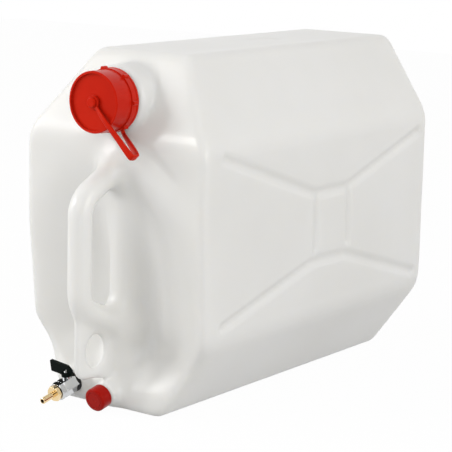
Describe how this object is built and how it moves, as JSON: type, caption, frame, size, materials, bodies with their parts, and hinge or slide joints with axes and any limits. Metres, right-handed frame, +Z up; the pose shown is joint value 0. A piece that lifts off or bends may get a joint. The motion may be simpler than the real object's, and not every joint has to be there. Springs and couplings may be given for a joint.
{
  "type": "carboy with spigot",
  "caption": "Eight-sided moulded water canister with a looped front handle, a strapped screw filler cap, a small screw drain cap and a quarter-turn outlet valve with a hose tail.",
  "frame": {"origin": "on the resting face, on the middle plane, 232 mm behind the front face", "axes": "+X to the right, -Y towards the handle, cap and valve, +Z up"},
  "size_m": [0.25, 0.534, 0.394],
  "materials": {
    "milky_plastic": "milky, slightly see-through moulded polyethylene",
    "red_plastic": "glossy orange-red moulded plastic",
    "dark_red_plastic": "glossy deep red moulded plastic",
    "black_plastic": "fine-grained black nylon",
    "seal_rubber": "matt black rubber",
    "plated_brass": "nickel and chrome plated brass",
    "bare_brass": "machined bare brass",
    "seat_plastic": "white low-friction plastic",
    "screw_steel": "zinc plated steel"
  },
  "bodies": {
    "tank": {"tank_body": "milky_plastic", "cap_strap": "red_plastic", "valve_gasket": "seal_rubber", "valve_body": "plated_brass", "valve_end_cap": "plated_brass", "ball_seat_rear": "seat_plastic", "ball_seat_front": "seat_plastic", "stem_washer": "seat_plastic", "stem_ring": "seal_rubber", "hose_tail": "bare_brass", "hose_tail_seal": "seal_rubber"},
    "filler_seal": {"filler_cap_seal": "seal_rubber"},
    "filler_cap": {"filler_cap": "red_plastic"},
    "drain_seal": {"drain_cap_seal": "seal_rubber"},
    "drain_cap": {"drain_cap": "dark_red_plastic"},
    "lever": {"valve_lever": "black_plastic", "lever_screw": "screw_steel", "valve_stem": "bare_brass", "valve_ball": "plated_brass"}
  },
  "joints": [
    {"name": "filler_cap_lift", "type": "slide", "parent": "tank", "child": "filler_seal", "axis": [0, -1, 0], "range_m": [0, 0.008], "deforming": ["cap_strap"]},
    {"name": "filler_cap_turn", "type": "hinge", "parent": "filler_seal", "child": "filler_cap", "pos_m": [0, -0.23, 0.344], "axis": [0, -1, 0], "range_deg": [0, 720]},
    {"name": "drain_cap_lift", "type": "slide", "parent": "tank", "child": "drain_seal", "axis": [0, -0.9781, -0.2079], "range_m": [0, 0.006]},
    {"name": "drain_cap_turn", "type": "hinge", "parent": "drain_seal", "child": "drain_cap", "pos_m": [0, -0.232, 0.0195], "axis": [0, -0.9781, -0.2079], "range_deg": [0, 720]},
    {"name": "lever_turn", "type": "hinge", "parent": "tank", "child": "lever", "pos_m": [-0.0495, -0.24472, 0.0196], "axis": [0, -0.2079, 0.9781], "range_deg": [0, 90]}
  ],
  "couplings": [
    {"joint": "filler_cap_lift", "follows": "filler_cap_turn", "m_per_rad": 0.0006366},
    {"joint": "drain_cap_lift", "follows": "drain_cap_turn", "m_per_rad": 0.0004774}
  ]
}
